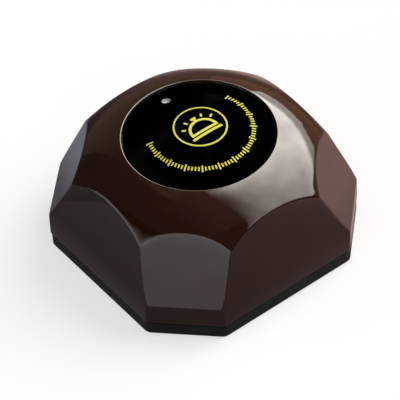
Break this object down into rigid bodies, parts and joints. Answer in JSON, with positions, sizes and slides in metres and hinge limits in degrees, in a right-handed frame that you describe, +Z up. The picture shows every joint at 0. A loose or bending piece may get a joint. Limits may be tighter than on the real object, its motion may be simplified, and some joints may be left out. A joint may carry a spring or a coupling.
{
  "type": "waiter call button",
  "caption": "Table call button: faceted domed housing with a round sprung push disc and light window, a radio board, battery and screwed flat base.",
  "frame": {"origin": "centre of the footprint, on the surface that the feet stand on", "axes": "+Z up along the disc's middle axis; -Y is the front, the side towards which the disc's print reads upright; +X is to the right of someone facing the front"},
  "size_m": [0.08, 0.08, 0.0431],
  "materials": {
    "shell_abs": "gloss",
    "base_abs": "satin",
    "case_screw_steel": "satin",
    "foot_rubber": "matt",
    "disc_acrylic": "gloss",
    "adhesive_foam": "matt",
    "carrier_abs": "satin",
    "light_pipe_acrylic": "frosted",
    "return_spring_wire": "satin",
    "board_laminate": "satin",
    "board_screw_steel": "satin",
    "switch_housing": "satin",
    "switch_cover_steel": "satin",
    "switch_leg_tin": "satin",
    "snap_dome_steel": "gloss",
    "switch_stem_plastic": "satin",
    "led_epoxy": "gloss",
    "led_lead_tin": "satin",
    "chip_epoxy": "matt",
    "chip_lead_tin": "satin",
    "transistor_epoxy": "matt",
    "resonator_can": "satin",
    "resistor_ceramic": "satin",
    "capacitor_ceramic": "satin",
    "antenna_copper": "gloss",
    "holder_plastic": "satin",
    "battery_jacket": "satin",
    "positive_contact_steel": "satin",
    "negative_contact_steel": "satin",
    "negative_spring_steel": "satin"
  },
  "bodies": {
    "housing": {"top_shell": "shell_abs", "base_plate": "base_abs", "case_screws": "case_screw_steel", "rubber_feet": "foot_rubber", "return_spring": "return_spring_wire", "circuit_board": "board_laminate", "board_screws": "board_screw_steel", "switch_body": "switch_housing", "switch_cover": "switch_cover_steel", "switch_legs": "switch_leg_tin", "switch_snap_dome": "snap_dome_steel", "led_lens": "led_epoxy", "led_leads": "led_lead_tin", "radio_chip": "chip_epoxy", "radio_chip_leads": "chip_lead_tin", "radio_transistor": "transistor_epoxy", "saw_resonator": "resonator_can", "chip_resistors": "resistor_ceramic", "chip_capacitors": "capacitor_ceramic", "antenna_coil": "antenna_copper", "battery_holder": "holder_plastic", "battery": "battery_jacket", "positive_contact": "positive_contact_steel", "negative_contact": "negative_contact_steel", "negative_spring": "negative_spring_steel"},
    "button": {"face_disc": "disc_acrylic", "face_adhesive": "adhesive_foam", "button_carrier": "carrier_abs", "light_pipe": "light_pipe_acrylic"},
    "switch_stem": {"switch_stem": "switch_stem_plastic"}
  },
  "joints": [
    {"name": "button_press", "type": "slide", "parent": "housing", "child": "button", "axis": [0, 0, -1], "range_m": [0, 0.0005], "stiffness_N_per_m": 1500, "springref_m": -0.0002, "deforming": ["return_spring"]},
    {"name": "stem_press", "type": "slide", "parent": "housing", "child": "switch_stem", "axis": [0, 0, -1], "range_m": [0, 0.0005], "stiffness_N_per_m": 0.1, "springref_m": -0.0055, "deforming": ["switch_snap_dome"]}
  ],
  "couplings": [
    {"joint": "stem_press", "follows": "button_press", "ratio": 1}
  ]
}
